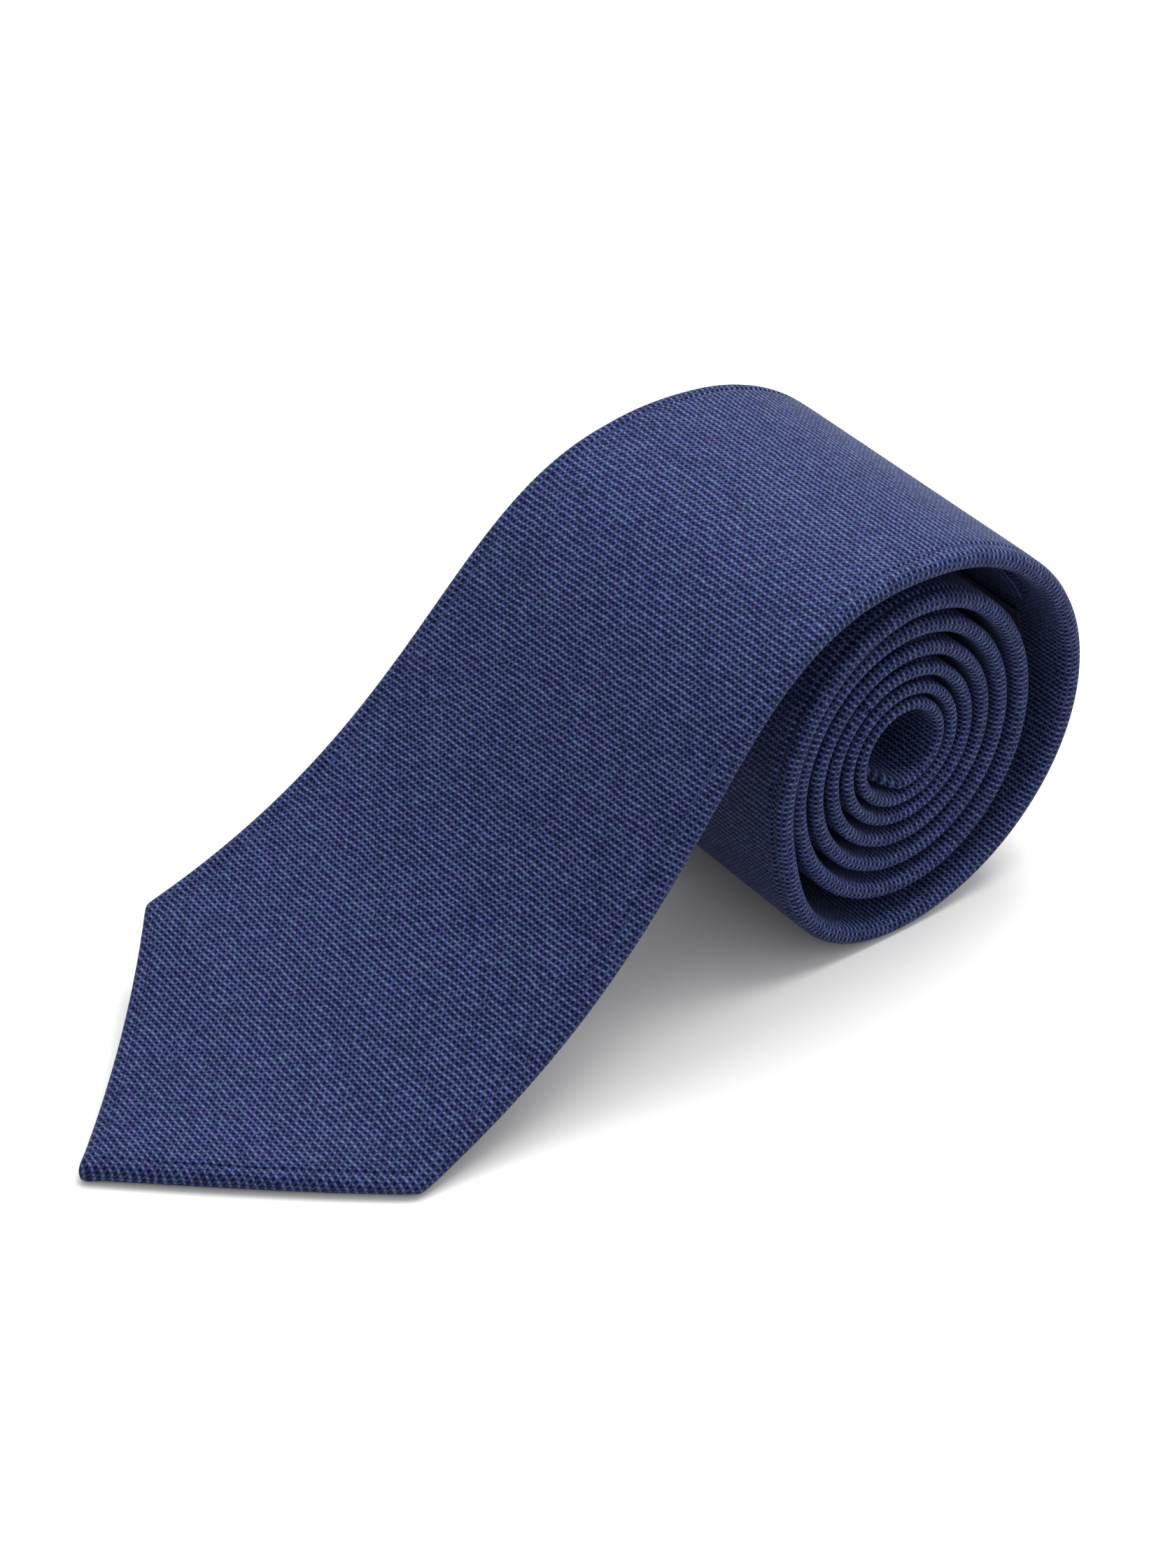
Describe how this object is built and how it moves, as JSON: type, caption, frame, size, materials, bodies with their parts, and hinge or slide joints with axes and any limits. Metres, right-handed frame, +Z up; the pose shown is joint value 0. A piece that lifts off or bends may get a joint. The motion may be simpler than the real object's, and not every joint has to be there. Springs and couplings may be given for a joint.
{
  "type": "necktie",
  "caption": "Rolled necktie lying on a surface, with its pointed front blade draped over the roll and free to lift and curl.",
  "frame": {"origin": "on the surface that the tie lies on, under the middle of its box", "axes": "+X from the tip of the front blade towards the roll, +Y along the roll's axis, +Z up"},
  "size_m": [0.1986, 0.0784, 0.0845],
  "materials": {
    "outer_fabric": "navy bias-cut ribbed twill with a soft sheen",
    "lining": "smooth navy satin lining",
    "interlining": "brushed undyed wool",
    "thread": "twisted navy sewing thread",
    "maker_tape": "plain dark woven tape, no lettering",
    "care_tape": "plain white woven tape, no lettering"
  },
  "bodies": {
    "roll": {"roll_shell": "outer_fabric", "roll_interlining": "interlining", "blade_neck_seam": "outer_fabric", "neck_shell": "outer_fabric", "neck_interlining": "interlining", "neck_tail_seam": "outer_fabric", "tail_shell": "outer_fabric", "tail_interlining": "interlining", "tail_lining": "lining", "roll_slip_stitch": "thread", "tail_bar_tack": "thread", "tail_hem_stitches": "thread", "keeper_loop": "outer_fabric", "keeper_tacks": "thread", "maker_label": "maker_tape", "care_label": "care_tape", "slack_thread_loop": "thread"},
    "blade": {"slope_shell": "outer_fabric", "slope_interlining": "interlining", "slope_lining": "lining", "blade_bar_tack": "thread", "slope_slip_stitch": "thread"},
    "blade_tip": {"tip_shell": "outer_fabric", "tip_interlining": "interlining", "tip_lining": "lining", "tip_hem_stitches": "thread"}
  },
  "joints": [
    {"name": "blade_lift", "type": "hinge", "parent": "roll", "child": "blade", "pos_m": [0.04192, -0.00087, 0.08343], "axis": [0, 1, 0], "range_deg": [0, 60]},
    {"name": "tip_curl", "type": "hinge", "parent": "blade", "child": "blade_tip", "pos_m": [-0.01138, -0.00045, 0.03824], "axis": [-0.0754, 0.9939, 0.0804], "range_deg": [0, 55]}
  ]
}
